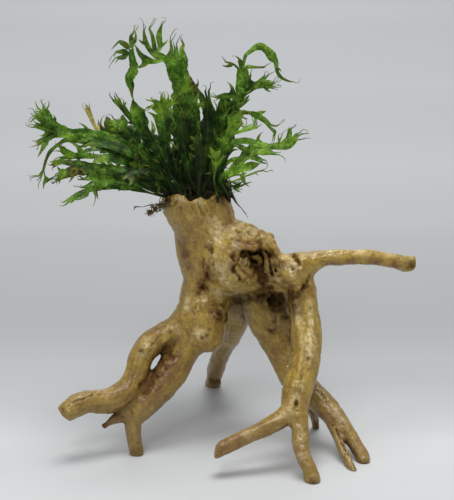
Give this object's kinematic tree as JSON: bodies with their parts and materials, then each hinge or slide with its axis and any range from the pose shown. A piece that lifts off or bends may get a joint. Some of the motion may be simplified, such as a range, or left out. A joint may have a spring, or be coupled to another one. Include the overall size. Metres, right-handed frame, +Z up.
{
  "type": "java fern on driftwood",
  "caption": "Lace-leaved java fern growing on top of a driftwood stump that stands on its own spread roots, for an aquarium.",
  "frame": {"origin": "centre of the whole's box, on the floor plane that the root feet stand on", "axes": "+Z up, -Y towards the side that the picture shows, +X to the right along the long side branch"},
  "size_m": [0.2268, 0.1758, 0.2536],
  "materials": {
    "driftwood": "worn, wet-looking sheen",
    "rhizome_skin": "matt, fuzzy",
    "frond_green": "wet leaf sheen",
    "frond_pale": "wet leaf sheen",
    "frond_brown": "dry, satin"
  },
  "bodies": {
    "root": {"trunk": "driftwood", "root_left_upper": "driftwood", "root_left_lower": "driftwood", "twig_left": "driftwood", "root_back": "driftwood", "root_right": "driftwood", "root_right_fork": "driftwood", "root_right_peg": "driftwood", "root_front": "driftwood", "root_front_branch": "driftwood", "branch_right": "driftwood", "rhizome": "rhizome_skin", "root_tuft_left": "rhizome_skin", "root_thread_right": "rhizome_skin", "frond_far_left": "frond_green", "frond_arching_left": "frond_green", "frond_curly_left": "frond_green", "frond_brown_tip": "frond_green", "frond_brown_low": "frond_green", "frond_dying": "frond_brown", "frond_leaf_left": "frond_green", "frond_forked_left": "frond_green", "frond_left_upper_mid": "frond_green", "frond_left_mid": "frond_green", "frond_left_lower_mid": "frond_green", "frond_left_low": "frond_green", "frond_left_lowest": "frond_green", "frond_centre_broad": "frond_green", "frond_top_blade": "frond_green", "frond_top_hand": "frond_green", "frond_tall_twisted": "frond_green", "frond_lacy_crest": "frond_green", "frond_small_tip": "frond_pale", "frond_mid_lacy": "frond_green", "frond_curved_mid": "frond_green", "frond_upright_dark": "frond_green", "frond_bright_mid": "frond_green", "frond_side_light": "frond_green", "frond_tall_right": "frond_green", "frond_right_low_branch": "frond_green", "frond_thin_arch_right": "frond_green", "frond_pale_right": "frond_pale", "frond_dark_arch_right": "frond_green", "frond_lobed_right": "frond_green", "frond_bright_right": "frond_green", "frond_stipe_right": "frond_pale", "frond_stipe_right_far": "frond_pale", "frond_young_right": "frond_pale", "frond_bright_crest_right": "frond_green", "frond_folded_light": "frond_pale", "frond_back_left_low": "frond_green", "frond_back_left": "frond_green", "frond_back_centre_left": "frond_green", "frond_back_tall": "frond_green", "frond_back_right": "frond_green", "frond_back_low": "frond_green", "frond_front_left": "frond_green", "frond_front": "frond_green"}
  },
  "joints": []
}
